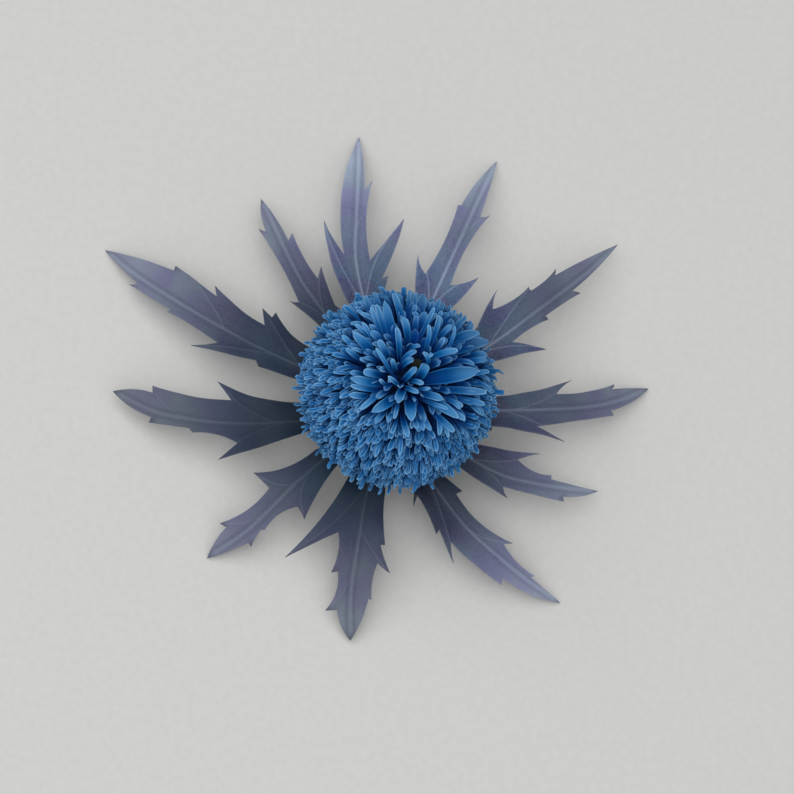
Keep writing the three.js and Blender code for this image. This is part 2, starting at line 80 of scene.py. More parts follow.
# Broad petals of the crown, each with the direction of its tip and of the place where it comes
# out from under its inner neighbours: polar angle from the axis and azimuth, then its width.
CROWN_PETALS = [
    (50, 110, 19, 140, 1.8), (23, 123, 12, 169, 1.1), (29, 106, 15, 111, 1.3),
    (70, 76, 21, 97, 2.1), (40, 71, 18, 83, 0.8), (23, 74, 9, 54, 0.8),
    (35, 65, 15, 52, 1.0), (37, 46, 23, 23, 0.6), (70, 26, 11, 22, 2.8),
    (56, 32, 22, 40, 2.0), (23, 18, 7, 30, 1.2), (39, 358, 11, 286, 3.0),
    (49, 345, 19, 304, 1.3), (26, 303, 19, 270, 1.4), (40, 309, 21, 280, 1.9),
    (33, 305, 23, 275, 0.7), (35, 263, 23, 257, 2.3), (28, 243, 19, 241, 1.7),
    (24, 262, 21, 261, 0.6), (41, 227, 26, 237, 2.0), (45, 219, 27, 218, 1.0),
    (37, 247, 27, 243, 0.7), (33, 191, 24, 200, 1.4), (31, 185, 26, 180, 0.6),
    (41, 188, 34, 191, 1.0), (41, 193, 26, 212, 1.5), (43, 198, 30, 216, 1.0),
    (46, 204, 37, 217, 1.2), (43, 152, 29, 166, 1.9), (26, 152, 18, 174, 1.3),
    (26, 163, 18, 212, 0.7), (16, 180, 16, 200, 0.8), (26, 205, 25, 217, 0.6),
    (21, 208, 19, 233, 0.8), (19, 266, 18, 239, 0.9), (17, 288, 17, 267, 0.6),
    (14, 275, 13, 242, 0.9), (56, 100, 27, 106, 1.2), (71, 85, 32, 98, 0.9),
    (70, 81, 35, 91, 0.9), (69, 66, 35, 69, 1.0), (68, 63, 39, 64, 0.7),
    (68, 54, 35, 58, 0.9), (68, 47, 46, 44, 0.9), (68, 47, 26, 42, 1.2),
    (76, 106, 41, 119, 0.9), (76, 112, 38, 132, 1.1), (48, 118, 24, 140, 1.1),
    (49, 122, 26, 144, 0.9), (44, 138, 29, 152, 0.8), (46, 143, 33, 149, 0.8),
    (53, 3, 36, 354, 0.9), (76, 2, 43, 347, 0.9), (38, 316, 29, 316, 0.7),
    (45, 315, 31, 305, 1.1), (47, 302, 32, 290, 1.2), (42, 283, 32, 276, 0.9),
    (41, 276, 33, 271, 1.2), (40, 270, 34, 267, 0.9), (45, 264, 36, 255, 1.1),
    (45, 235, 35, 236, 1.1), (41, 243, 34, 244, 0.8), (52, 337, 34, 325, 1.1),
    (43, 340, 30, 327, 0.8), (45, 165, 37, 173, 0.9), (50, 155, 41, 162, 0.9),
]

# Petals that curl over the eye, told in the same way
HEART_PETALS = [
    (9, 88, 9, 132, 0.7), (6, 111, 11, 180, 0.9), (4, 169, 11, 193, 1.1),
    (5, 242, 15, 231, 1.05), (4, 330, 10, 269, 1.7), (6, 66, 7, 341, 0.8), (6, 20, 9, 38, 0.6),
]


# ---- Meshes ----

def unit(vectors):
    return vectors / np.linalg.norm(vectors, axis=-1, keepdims=True)


def add_piece(name, points, faces, attributes, material, node):
    """Makes a smooth-shaded piece from points in millimetres that stands for a CAD node."""
    mesh = bpy.data.meshes.new(name)
    mesh.from_pydata((np.asarray(points) * MM).tolist(), [], np.asarray(faces).tolist())
    for key, values in attributes.items():
        layer = mesh.attributes.new(key, "FLOAT", "POINT")
        layer.data.foreach_set("value", np.asarray(values, np.float32))
    mesh.validate()
    mesh.shade_smooth()
    mesh.set_sharp_from_angle(angle=SHARP_ANGLE)
    mesh.materials.append(material)
    piece = bpy.data.objects.new(name, mesh)
    bpy.context.scene.collection.objects.link(piece)
    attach(piece, "root")
    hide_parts(node)
    return piece


class Heap:
    """Closed shells gathered into the points, faces and attributes of one mesh."""

    def __init__(self):
        self.points = []
        self.faces = []
        self.attributes = {}
        self.count = 0

    def add(self, points, faces, **attributes):
        self.points.append(points)
        self.faces.append(faces + self.count)
        for key, values in attributes.items():
            self.attributes.setdefault(key, []).append(np.broadcast_to(values, len(points)))
        self.count += len(points)

    def piece(self, name, material, node, slot):
        attributes = {key: np.concatenate(parts) for key, parts in self.attributes.items()}
        points, faces = np.concatenate(self.points), np.concatenate(self.faces)
        return add_piece(name, points, faces, attributes, material, node)


# ---- Petals ----

def direction(polar, azimuth):
    """Unit vector at a polar angle from the axis and an azimuth, in degrees."""
    p, a = math.radians(polar), math.radians(azimuth)
    return np.array([math.sin(p) * math.cos(a), math.sin(p) * math.sin(a), math.cos(p)])


def settle(points):
    """Turns points of the ball's own frame into the flower's."""
    toward = math.radians(BALL_LEAN_TOWARD)
    hinge = Vector((-math.sin(toward), math.cos(toward), 0))
    turn = np.array(Quaternion(hinge, math.radians(BALL_LEAN)).to_matrix())
    return points @ turn.T + BALL_PLACE


def bezier(path, share):
    """Points and unit slopes of a cubic curve at the given shares of it."""
    t = share[:, None]
    a, b, c, d = path
    points = (1 - t) ** 3 * a + 3 * (1 - t) ** 2 * t * b + 3 * (1 - t) * t * t * c + t ** 3 * d
    slopes = (1 - t) ** 2 * (b - a) + 2 * (1 - t) * t * (c - b) + t * t * (d - c)
    return points, unit(slopes)


def grid_faces(rows, columns):
    """Quads of a closed shell made of an upper and a lower grid of points."""
    top = np.arange(rows * columns).reshape(rows, columns)
    low = top + rows * columns

    def strip(a, b, c, d):
        return np.stack([x.ravel() for x in (a, b, c, d)], axis=1)

    return np.concatenate([
        strip(top[:-1, :-1], top[1:, :-1], top[1:, 1:], top[:-1, 1:]),
        strip(low[:-1, :-1], low[:-1, 1:], low[1:, 1:], low[1:, :-1]),
        strip(top[:-1, 0], low[:-1, 0], low[1:, 0], top[1:, 0]),
        strip(top[:-1, -1], top[1:, -1], low[1:, -1], low[:-1, -1]),
        strip(top[-1, :-1], low[-1, :-1], low[-1, 1:], top[-1, 1:]),
        strip(top[0, :-1], top[0, 1:], low[0, 1:], low[0, :-1]),
    ])


def add_petal(heap, path, side, width, shape, tone, roll=0.0):
    """Adds a trough-shaped petal along a path that rolls over by an angle towards its tip.

    side points to its right edge.
    """
    rows, columns = shape["rows"], shape["columns"]
    share = np.linspace(0, 1, rows) ** shape["crowding"]
    points, slopes = bezier(path, share)
    side = unit(side - (slopes @ side)[:, None] * slopes)
    upper = np.cross(slopes, side)
    over = (roll * share)[:, None]
    side, upper = side * np.cos(over) + upper * np.sin(over), upper * np.cos(over) - side * np.sin(over)
    half = width / 2 * np.interp(share, *zip(*shape["outline"]))
    curl = np.interp(share, [0, 1], shape["curl"])[:, None]
    u = np.linspace(-1, 1, columns)[None, :]
    turn = curl * u
    across = (half[:, None] / curl * np.sin(turn))[..., None]
    lift = (half[:, None] / curl * (1 - np.cos(turn)))[..., None]
    near_tip = np.clip((share - 0.7) / 0.3, 0, 1)[:, None] ** 2
    setback = (near_tip * width * shape["setback"] * np.abs(u) ** shape["roundness"])[..., None]
    surface = points[:, None] + side[:, None] * across + upper[:, None] * lift - slopes[:, None] * setback
    normal = upper[:, None] * np.cos(turn)[..., None] - side[:, None] * np.sin(turn)[..., None]
    thick = shape["thickness"] / 2 * (1 - 0.35 * np.abs(u) ** 2)[..., None]
    shell = np.concatenate([(surface + normal * thick).reshape(-1, 3),
                            (surface - normal * thick).reshape(-1, 3)])

    length = np.linalg.norm(np.diff(points, axis=0), axis=1).sum()
    to_side = half[:, None] * (1 - np.abs(u))
    to_tip = length * (1 - share)[:, None] + 0 * u
    edge = np.minimum(to_side, to_tip).ravel()
    heap.add(
        settle(shell), grid_faces(rows, columns),
        edge=np.tile(edge, 2),
        across=np.tile((half[:, None] * u).ravel(), 2),
        along=np.tile((share[:, None] + 0 * u).ravel(), 2),
        crown=shape["crown"],
        tone=tone,
    )


def petal_side(radial, heading):
    return unit(np.cross(radial, heading))


LEAF_WIDTH = 1.75
TONGUE = {
    "rows": 14, "columns": 7, "crowding": 0.8, "thickness": 0.18, "curl": (1.6, 0.75),
    "outline": [(0, 0.4), (0.3, 0.78), (0.58, 1), (0.8, 0.96), (0.9, 0.82), (0.96, 0.66), (1, 0.46)],
    "setback": 0.16, "roundness": 2, "crown": 1.0,
}
LEAF = TONGUE | {
    "outline": [(0, 0.4), (0.25, 0.75), (0.52, 1), (0.75, 0.86), (0.88, 0.62), (0.95, 0.42), (1, 0.2)],
}
STRAP = {
    "rows": 7, "columns": 5, "crowding": 0.7, "thickness": 0.14, "curl": (2.0, 0.95),
    "outline": [(0, 0.5), (0.45, 0.62), (0.72, 0.88), (0.88, 1), (0.95, 0.9), (1, 0.58)],
    "setback": 0.2, "roundness": 2, "crown": 0.0,
}
CURLED = {
    "rows": 14, "columns": 7, "crowding": 1, "thickness": 0.22, "curl": (1.2, 0.9),
    "outline": [(0, 0.7), (0.5, 1), (0.85, 0.95), (1, 0.6)],
    "setback": 0.2, "roundness": 2, "crown": 1.0,
}


def varied(shape, draw, curl, setback):
    """The same shape with its own curl and its own tip, from rounded to notched."""
    factor = 1 + draw.uniform(-curl, curl)
    return shape | {
        "curl": tuple(value * factor for value in shape["curl"]),
        "setback": shape["setback"] + draw.uniform(-setback, setback),
    }


def crown_footprint():
    """Directions along the broad petals, and the cosine of the angle that each one spans there."""
    spots, spans = [], []
    for tip_polar, tip_azimuth, base_polar, base_azimuth, width in CROWN_PETALS:
        tip, base = direction(tip_polar, tip_azimuth), direction(base_polar, base_azimuth)
        for share in np.linspace(0.2, 0.95, 8):
            spots.append(unit(base + (tip - base) * share))
            spans.append(math.cos((width / 2 + 0.35) / BALL_RADIUS))
    return np.array(spots), np.array(spans)


FOOTPRINT = crown_footprint()


def tucked(tip):
    """How far a petal is sunk so that its tip stays under the broad petals of the crown."""
    spots, spans = FOOTPRINT
    return TUCK_DEPTH if np.any(spots @ tip > spans) else 0.0


def crown_edge(azimuth):
    """Polar angle where the crown's broad petals give way to narrow florets."""
    return 54 + 15 * math.cos(math.radians(azimuth - 50))


def add_crown_petal(heap, draw, tip_polar, tip_azimuth, base_polar, base_azimuth, width):
    tip, base = direction(tip_polar, tip_azimuth), direction(base_polar, base_azimuth)
    middle = unit(base + (tip - base) * 0.5)
    side = petal_side(middle, tip - base)
    sink = 14.5 - 0.05 * (base_polar - 10)
    rise = 15.7 - 0.015 * (tip_polar - 20) + 0.15 * (width - 1) + draw.uniform(-0.25, 0.25)
    hook = draw.uniform(-0.15, 0.35)
    sway = side * draw.uniform(-0.12, 0.12) * width
    bow = middle * (rise + 0.1 - hook) + sway
    path = np.array([base * PETAL_ROOT_RADIUS, base * sink, bow, tip * (rise + hook)])
    shape = varied(LEAF if width > LEAF_WIDTH else TONGUE, draw, 0.2, 0.14)
    add_petal(heap, path, side, width, shape, draw.random(), draw.uniform(-0.4, 0.4))


def add_fill_petal(heap, draw, polar, azimuth):
    """Shorter, sunken petal between the broad ones of the crown."""
    share = polar / crown_edge(azimuth)
    root = direction(polar * 0.74, azimuth + draw.uniform(-8, 8))
    tip = direction(polar + draw.uniform(-3, 4), azimuth + draw.uniform(-7, 7))
    rise = 14.1 + 1.0 * share + draw.uniform(-0.5, 0.4) - tucked(tip)
    bow = unit(root + tip) * (rise - 0.2)
    path = np.array([root * PETAL_ROOT_RADIUS, root * (rise - 2.2), bow, tip * rise])
    width = draw.uniform(0.85, 1.5) * (1.1 - 0.3 * share)
    shape = varied(TONGUE, draw, 0.25, 0.2)
    add_petal(heap, path, petal_side(tip, tip - root), width, shape, draw.random())


def add_floret(heap, draw, polar, azimuth):
    """Narrow floret of the rest of the ball, bent away from the crown at its tip."""
    outer = min(max((polar - 45) / 60, 0), 1)
    polar += draw.uniform(-2.5, 2.5)
    azimuth += draw.uniform(-3, 3) / math.sin(math.radians(polar))
    bend = 7 - 6 * outer + draw.uniform(-6, 7)
    swing = draw.uniform(-3.5, 3.5) / math.sin(math.radians(polar))
    tip = direction(polar + bend * 0.6, azimuth + swing)
    bow = direction(polar - bend * 0.25, azimuth)
    root = direction(polar - bend * 0.4 - 2, azimuth)
    rise = BALL_RADIUS - 0.8 + draw.uniform(-0.6, 0.45)
    rise += (draw.random() < 0.25) * draw.uniform(-0.7, 1.2)
    rise -= tucked(tip)
    end = tip * rise
    end[2] = max(end[2], -FLORET_DROP)
    path = np.array([root * 9.8, root * 12.2, bow * (rise - 0.5), end])
    side = petal_side(tip, direction(polar + 90, azimuth))
    twist = draw.gauss(0, 0.38)
    side = side * math.cos(twist) + np.cross(tip, side) * math.sin(twist)
    width = draw.uniform(0.6, 1.05) * (1.12 - 0.42 * outer)
    shape = varied(STRAP, draw, 0.3, 0.28)
    add_petal(heap, path, side, width, shape, draw.random(), draw.uniform(-0.5, 0.5))


def spiral(count, first_polar, last_polar):
    """Polar angles and azimuths, in degrees, spread evenly over a band of the ball."""
    top, bottom = math.cos(math.radians(first_polar)), math.cos(math.radians(last_polar))
    for i in range(count):
        height = top + (bottom - top) * (i + 0.5) / count
        yield math.degrees(math.acos(height)), math.degrees(i * GOLDEN_ANGLE) % 360


def make_ball(material):
    draw = random.Random(SEED)
    crown = Heap()
    for petal in CROWN_PETALS:
        add_crown_petal(crown, draw, *petal)
    for polar, azimuth in spiral(FILL_COUNT, *FILL_POLAR):
        if polar < crown_edge(azimuth):
            add_fill_petal(crown, draw, polar, azimuth)
    crown.piece("crown_petals", material, "flower_head", "floret_blue")

    heart = Heap()
    for tip_polar, tip_azimuth, base_polar, base_azimuth, width in HEART_PETALS:
        root, tip = direction(base_polar, base_azimuth), direction(tip_polar, tip_azimuth)
        rise = 15.2 + draw.uniform(-0.3, 0.3)
        bow = unit(root + tip) * (rise + 0.9)
        path = np.array([root * 10, root * (rise + 0.2), bow, tip * (rise - 0.2)])
        add_petal(heart, path, petal_side(root, tip - root), width, CURLED, draw.random())
    heart.piece("heart_petals", material, "flower_head", "floret_blue")

    belts = [Heap(), Heap(), Heap()]
    for polar, azimuth in spiral(FLORET_COUNT, *FLORET_POLAR):
        if polar >= crown_edge(azimuth):
            belt = belts[sum(polar > edge for edge in BELT_EDGES)]
            add_floret(belt, draw, polar, azimuth)
    for name, belt in zip(("upper_florets", "middle_florets", "lower_florets"), belts):
        belt.piece(name, material, "flower_head", "floret_blue")


# ---- Bed, eye and receptacle ----

EYE_RADIUS = 0.9
EYE_HEIGHT = 12.7         # centre of the eye above the ball's centre
EYE_GRAINS = 60
CUT_RADIUS = 2.9
RECEPTACLE = [
    (0, 0), (1.5, 0), (2.7, 0), (2.9, 0.15), (2.85, 1.2), (2.8, 2.4), (2.95, 3.4), (3.5, 4.3),
    (4.3, 5.1), (4.65, 5.6), (4.7, 6.3), (4.5, 7), (4.1, 7.25), (2, 7.3), (0, 7.3),
]
STEM_RIBS = 13


def lathe(radii, heights, sides):
    """Points, faces and turning angles of a closed body of revolution with its poles at the ends."""
    turns = np.arange(sides) * 2 * math.pi / sides
    angle = np.tile(turns, len(radii))
    radius, height = np.repeat(radii, sides), np.repeat(heights, sides)
    points = np.stack([radius * np.cos(angle), radius * np.sin(angle), height], axis=1)
    grid = np.arange(len(points)).reshape(len(radii), sides)
    ahead = np.roll(grid, -1, axis=1)
    faces = np.stack([x.ravel() for x in (grid[:-1], ahead[:-1], ahead[1:], grid[1:])], axis=1)
    return points, faces, angle


def bumps(points, centres, reach):
    """Height from 0 to 1 of round bumps about the given centres."""
    gaps = np.min(np.linalg.norm(points[:, None] - centres[None], axis=2), axis=1)
    return np.sqrt(np.clip(1 - (gaps / reach) ** 2, 0, 1))


def make_bed(material):
    """Knobbly bed that the florets stand on."""
    foot = math.pi - math.asin(BED_FOOT_RADIUS / BED_RADIUS)
    polar = np.linspace(foot, 0.001, 60)
    radii = np.concatenate([[0.01, BED_FOOT_RADIUS], BED_RADIUS * np.sin(polar)])
    heights = np.concatenate([[-BED_FOOT_DEPTH] * 2, BED_RADIUS * np.cos(polar)])
    points, faces, angle = lathe(radii, heights, 120)
    ripple = np.sin(angle * 40) * np.cos(points[:, 2] * 3.4)
    outward = points[:, :2] / np.linalg.norm(points[:, :2], axis=1, keepdims=True)
    points[:, :2] += outward * (ripple * 0.12 * np.clip(np.hypot(*points[:, :2].T) - 4.4, 0, 1))[:, None]
    add_piece("floret_bed", settle(points), faces, {}, material, "flower_head")


def make_eye(material):
    """Small granular bud sunk in the crown."""
    polar = np.linspace(math.pi, 0, 40)
    points, faces, _ = lathe(np.maximum(np.sin(polar), 1e-3), np.cos(polar), 56)
    grains = np.array([direction(*place) for place in spiral(EYE_GRAINS, 4, 120)])
    height = bumps(points, grains, 0.28)
    points *= (EYE_RADIUS * (0.72 + 0.28 * height))[:, None]
    points[:, 2] = points[:, 2] * 1.6 + EYE_HEIGHT
    add_piece("eye_bud", settle(points), faces, {"grain": height}, material, "eye")


def make_receptacle(material):
    """Ribbed stub of stem, cut square, that widens into the seat of the collar."""
    knots = np.array(RECEPTACLE, float)
    run = np.concatenate([[0], np.cumsum(np.linalg.norm(np.diff(knots, axis=0), axis=1))])
    step = np.linspace(0, run[-1], 90)
    radii, heights = np.interp(step, run, knots[:, 0]), np.interp(step, run, knots[:, 1])
    points, faces, angle = lathe(np.maximum(radii, 0.01), heights, 156)
    skin = np.clip((np.hypot(*points[:, :2].T) - 2.4) / 0.4, 0, 1)
    skin *= np.clip((7.1 - points[:, 2]) / 0.6, 0, 1)
    rib = np.cos(angle * STEM_RIBS + 0.35 * np.sin(points[:, 2] * 0.9))
    points[:, :2] *= (1 - skin * 0.018 * (1 - rib))[:, None]
    attributes = {
        "rib": rib * skin, "radius": np.hypot(*points[:, :2].T), "height": points[:, 2], "angle": angle,
    }
    add_piece("cut_stem", points, faces, attributes, material, "receptacle")


# ---- Bracts ----

BRACT_ROOT_RADIUS = 5.1
BRACT_ROOT_WIDTH = 2.1
BRACT_ROOT_HEIGHT = 6.5
BRACT_RISE = 0.24
BRACT_FOLD = 0.1
BRACT_THICKNESS = 0.34
RIM_THICKNESS = 0.16
ON_THE_SURFACE = 0.35     # height of the middle of a blade of the solids that lies on the surface
OUTLINE_STEP = 0.35
BLADE_STEP = 0.5
RIDGE_HEIGHT = 0.16
RIDGE_WIDTH = 0.42
SHADED_AT = (0.48, 0.67, 0.9)
ROOT_SHADE = 0.5
TIP_SHADE = 1.35
# The bracts' roots are painted lightest in this direction, as the light falls there.
LIGHT_ROOTS_TOWARD = 45   # direction, in degrees, where the bracts' roots are lightest

# One entry per bract, anticlockwise seen from above, as in the part's source. bearing is the
# direction of its tip and root that of its root, in degrees; reach is the tip's distance from the
# axis and tip its height. rib holds the points of the midrib, as distance along the bearing and
# distance to the left of it. left and right hold the two edges from the ball to the tip: along,
# across, and how far the edge bows outward. veins holds the side veins: start, middle and end.
# The lightness factor of each entry is painted light and shade: how much lighter or darker the bract is
# drawn than its fellows, for the light that falls on it.
BRACTS = [
    {
        "name": "bract_01", "bearing": 92.9, "root": 98.5, "reach": 45.8, "tip": ON_THE_SURFACE,
        "painted_shading": 1.7,
        "rib": [(12, 1.7), (19, 3), (24.7, 3.4), (31.4, 2.5), (38.4, 1.3)],
        "left": [(16.5, 5.1, -0.2), (30.6, 7.7, 0.9), (24.7, 5.2, -0.2), (45.8, 0, 1.7)],
        "right": [(18.6, -0.6, -0.2), (20.9, -1.3, 0), (20.6, -0.3, 0), (30.5, -4.8, 0.3),
                  (23.7, 1.2, 0), (37.7, -0.9, -0.9), (36.1, 0.6, -0.1), (45.8, 0, 0.2)],
        "veins": [[(15, 2.3), (24, 6.3), (29.6, 7.6)], [(15, 2.3), (22.7, 0.8), (30, -4.5)],
                  [(25, 3.4), (28.8, 2.9), (31, 1.7)]],
    },
    {
        "name": "bract_11", "bearing": 117.9, "root": 127.5, "reach": 39.1, "tip": 2.6,
        "painted_shading": 1,
        "rib": [(11, 1.5), (17.3, 1.7), (23.7, 2.2), (29.5, 1.7), (33.7, 1)],
        "left": [(16.7, 3.5, -0.2), (21.9, 5.5, 0), (21.1, 4.3, -0.2), (34.7, 3.3, -0.2),
                 (33.7, 2.5, -0.1), (39.1, 0, 0.4)],
        "right": [(16.4, -1.2, -0.2), (18, -0.4, 0), (24.6, -1.7, -0.2), (23.1, -0.2, 0),
                  (31.6, -0.8, -0.4), (30.8, 0.4, 0), (39.1, 0, 0.2)],
        "veins": [[(17.5, 1.7), (21.5, 0.5), (24.1, -1.4)], [(16.5, 1.6), (19.5, 3.2), (21.6, 5)]],
    },
    {
        "name": "bract_10", "bearing": 148.2, "root": 157.5, "reach": 49.9, "tip": ON_THE_SURFACE,
        "painted_shading": 1,
        "rib": [(10, 1.4), (16, 2.2), (23.8, 3.1), (34, 3), (43.8, 1.8)],
        "left": [(13.6, 3.9, -0.2), (20.4, 5.7, 0), (21.2, 5, 0), (30.9, 8.1, 0.1),
                 (27.6, 5.7, -0.1), (36.7, 5, -0.2), (36.5, 4.4, 0), (43.9, 3.6, 0.1),
                 (42.9, 2.8, -0.2), (49.9, 0, 0.2)],
        "right": [(15.4, -1.3, -0.2), (22.5, -3.1, -0.6), (22.6, -2.1, 0), (24.6, -2.7, 0),
                  (22.9, -0.5, 0), (32.6, -2.2, -0.5), (31.5, -0.8, 0), (39.4, -2.2, 0),
                  (39.2, -1.4, 0), (49.9, 0, 0.2)],
        "veins": [[(27.5, 3.1), (29.8, 1.8), (34.5, -0.8)], [(19, 2.6), (24.3, 4.8), (30.4, 7.7)],
                  [(15, 2.1), (19.5, 0), (23.8, -2.2)]],
    },
    {
        "name": "bract_09", "bearing": 175.7, "root": 192, "reach": 42.1, "tip": 2.4,
        "painted_shading": 0.6,
        "rib": [(9.5, 2.6), (14.4, 3.7), (21.6, 4.7), (28.4, 4.7), (35.8, 3.4)],
        "left": [(12.4, 5, -0.2), (26, 10.8, 0.2), (23.2, 8, 0), (30, 6.6, -0.6),
                 (30.6, 5.9, 0), (36.6, 5.1, 0), (36.3, 4.2, 0), (42.1, 0, 0.5)],
        "right": [(13.3, 0.5, -0.2), (26.8, -1.5, -1.1), (24.5, 1.3, 0), (36.4, -0.7, -0.6),
                  (36.3, 0.4, 0), (42.1, 0, 0.4)],
        "veins": [[(15.5, 3.9), (21.5, 6.6), (25.4, 10.3)], [(17.5, 4.2), (22.5, 2.2), (26.3, -1.1)],
                  [(30.5, 4.4), (34, 2.8), (36.2, -0.2)]],
    },
    {
        "name": "bract_08", "bearing": 219.2, "root": 223.5, "reach": 35.6, "tip": ON_THE_SURFACE,
        "painted_shading": 0.8,
        "rib": [(9, 0.3), (13.1, 0), (18.6, 0.1), (22.9, 0.5), (29, 0.9)],
        "left": [(13, 2.1, -0.2), (21.7, 5.3, -0.3), (21.2, 3.1, -0.1), (27, 2.6, -0.7),
                 (27.4, 2.2, 0), (30, 3.2, -0.1), (29.9, 2.4, 0), (35.6, 0, 0.2)],
        "right": [(13.4, -2, -0.2), (23, -5.2, -1), (22.6, -1.9, 0), (31.3, -2.7, -0.8),
                  (30.9, -1.6, 0), (35.6, 0, 0.3)],
        "veins": [[(18, 0.1), (21, -1.1), (22.9, -4.8)], [(15.5, 0), (19.3, 1.7), (21.4, 4.9)],
                  [(26, 0.7), (28.5, -0.2), (31, -2.3)]],
    },
    {
        "name": "bract_07", "bearing": 260.8, "root": 258, "reach": 35.7, "tip": 1,
        "painted_shading": 0.7,
        "rib": [(9.5, -1.1), (14.4, -1.6), (19.1, -1.7), (27.1, -1.6), (31.2, -1.1)],
        "left": [(13.5, 1.2, -0.2), (21.5, 2.4, -0.3), (21.6, 1.7, 0), (25.5, 3.9, -0.1),
                 (24.3, 1.8, 0.1), (29.7, 1.9, -0.4), (29.6, 1.4, 0), (35.7, 0, 0.3)],
        "right": [(12.1, -4.8, -0.2), (25.9, -12.5, -0.7), (20.8, -5, 0), (26.8, -5, -0.5),
                  (26.5, -4, 0), (32.3, -4.8, -0.7), (31.9, -3, 0), (35.7, 0, 0.4)],
        "veins": [[(10.5, -1.2), (17.9, -4.7), (25.4, -11.9)], [(19.5, -1.7), (22, 0), (25.2, 3.4)],
                  [(25.5, -1.7), (29, -2.4), (32, -4.4)]],
    },
    {
        "name": "bract_06", "bearing": 313.9, "root": 298, "reach": 39.3, "tip": ON_THE_SURFACE,
        "painted_shading": 1.3,
        "rib": [(9.5, -2.7), (15, -3.9), (21.7, -4.5), (28, -3.6), (33.4, -2.3)],
        "left": [(13.5, -1.4, -0.2), (17, -1.1, 0), (16.7, -2.1, 0), (28, -0.5, -1.1),
                 (27.1, -1.7, 0), (33.8, -0.9, -0.5), (33.6, -1.5, 0), (39.3, 0, 0)],
        "right": [(11.6, -6.1, -0.2), (13.6, -8.5, 0.1), (12.8, -6.8, 0), (19.1, -8.9, -0.3),
                  (18.9, -8, 0), (24.1, -9.8, 0.1), (21.4, -7.9, -0.1), (31.4, -6, 0.4),
                  (30.8, -5.2, 0), (39.3, 0, 0.7)],
        "veins": [[(10.5, -3), (17.5, -6.1), (23.6, -9.4)], [(21, -4.5), (24.4, -3.5), (27.8, -0.8)]],
    },
    {
        "name": "bract_05", "bearing": 341.7, "root": 329, "reach": 35, "tip": 2.6,
        "painted_shading": 1.1,
        "rib": [(9.5, -2.4), (14.8, -3.6), (19.7, -4.2), (23.7, -3.7), (29.1, -2.3)],
        "left": [(14.7, -0.9, -0.2), (24.4, 1.2, -0.3), (21.3, -1, -0.1), (27.1, -1.1, -0.7),
                 (27.3, -1.7, 0), (35, 0, -0.1)],
        "right": [(13.2, -5.4, -0.2), (21.6, -7.3, 0.2), (20.4, -5.8, -0.2), (30.2, -4.1, 0.2),
                  (29.9, -3.4, 0), (35, 0, 0.4)],
        "veins": [[(14, -3.4), (19.1, -2.2), (23.8, 0.8)], [(14.5, -3.5), (18.5, -4.9), (21.2, -6.9)]],
    },
    {
        "name": "bract_04", "bearing": 8.5, "root": 1, "reach": 42.6, "tip": ON_THE_SURFACE,
        "painted_shading": 0.9,
        "rib": [(10.5, -1.4), (17, -2.5), (22.5, -3), (30.3, -3.1), (36.5, -2.2)],
        "left": [(17, -0.3, -0.2), (29.5, 1.3, -0.5), (26.5, -0.8, -0.2), (36.6, 0.5, -0.5),
                 (36, -0.3, 0.1), (42.6, 0, 0.1)],
        "right": [(14.7, -4.7, -0.2), (15.1, -5.7, 0.1), (15.4, -4.9, 0), (26.5, -8.4, -0.2),
                  (22.4, -5.7, 0), (35.5, -4.5, 0.1), (35.2, -3.7, 0.1), (42.6, 0, 0.5)],
        "veins": [[(18, -2.6), (23.1, -2), (28.9, 0.7)], [(16, -2.4), (21.5, -4.5), (26, -8.1)]],
    },
    {
        "name": "bract_03", "bearing": 37.5, "root": 33, "reach": 47.5, "tip": 2.2,
        "painted_shading": 0.9,
        "rib": [(12, -1.1), (20.5, -1.6), (28, -1.5), (35.7, -1.3), (41.4, -0.9)],
        "left": [(19, 1.9, -0.2), (25.5, 4.8, 0.2), (22.8, 2.7, -0.2), (29.9, 2.3, -0.5),
                 (29.8, 1.6, -0.1), (35.6, 2.2, -0.3), (34.8, 1.4, 0), (47.5, 0, 0.1)],
        "right": [(17.3, -3.8, -0.2), (25.6, -7.2, -0.1), (22, -3.2, 0.1), (29, -3.6, -0.3),
                  (29, -2.9, 0.1), (36.3, -3.1, -0.1), (35.4, -2.1, 0.1), (47.5, 0, 0.3)],
        "veins": [[(18.5, -1.5), (25, 0.7), (29.5, 2)], [(16, -1.3), (21, -3.4), (25.3, -6.8)]],
    },
    {
        "name": "bract_02", "bearing": 65.5, "root": 67, "reach": 46.6, "tip": ON_THE_SURFACE,
        "painted_shading": 1.5,
        "rib": [(12, 0.4), (18.6, 0.7), (28.6, 0.6), (34.5, 0.5), (40.5, 0.3)],
        "left": [(18.4, 3.5, -0.2), (24.6, 5.6, 0.2), (22.1, 3.4, -0.3), (35.6, 3, -0.5),
                 (35.8, 2.5, 0), (46.6, 0, 0.4)],
        "right": [(18.4, -2.3, -0.2), (25.4, -4.4, 0.2), (22.2, -0.9, -0.3), (36.4, -2.2, -0.7),
                  (35.3, -0.9, -0.2), (46.6, 0, 0.1)],
        "veins": [[(16, 0.6), (21, 2.4), (24.4, 5.3)], [(16, 0.6), (21.5, -1.1), (25.2, -4.2)],
                  [(29, 0.6), (33, -0.3), (36.1, -1.9)]],
    },
]


def spaced(points, step):
    """Points along a line, at most step apart, with its own corners kept."""
    line = [points[0]]
    for a, b in zip(points, points[1:]):
        count = max(1, math.ceil(np.linalg.norm(b - a) / step))
        line += [a + (b - a) * (i + 1) / count for i in range(count)]
    return np.array(line)


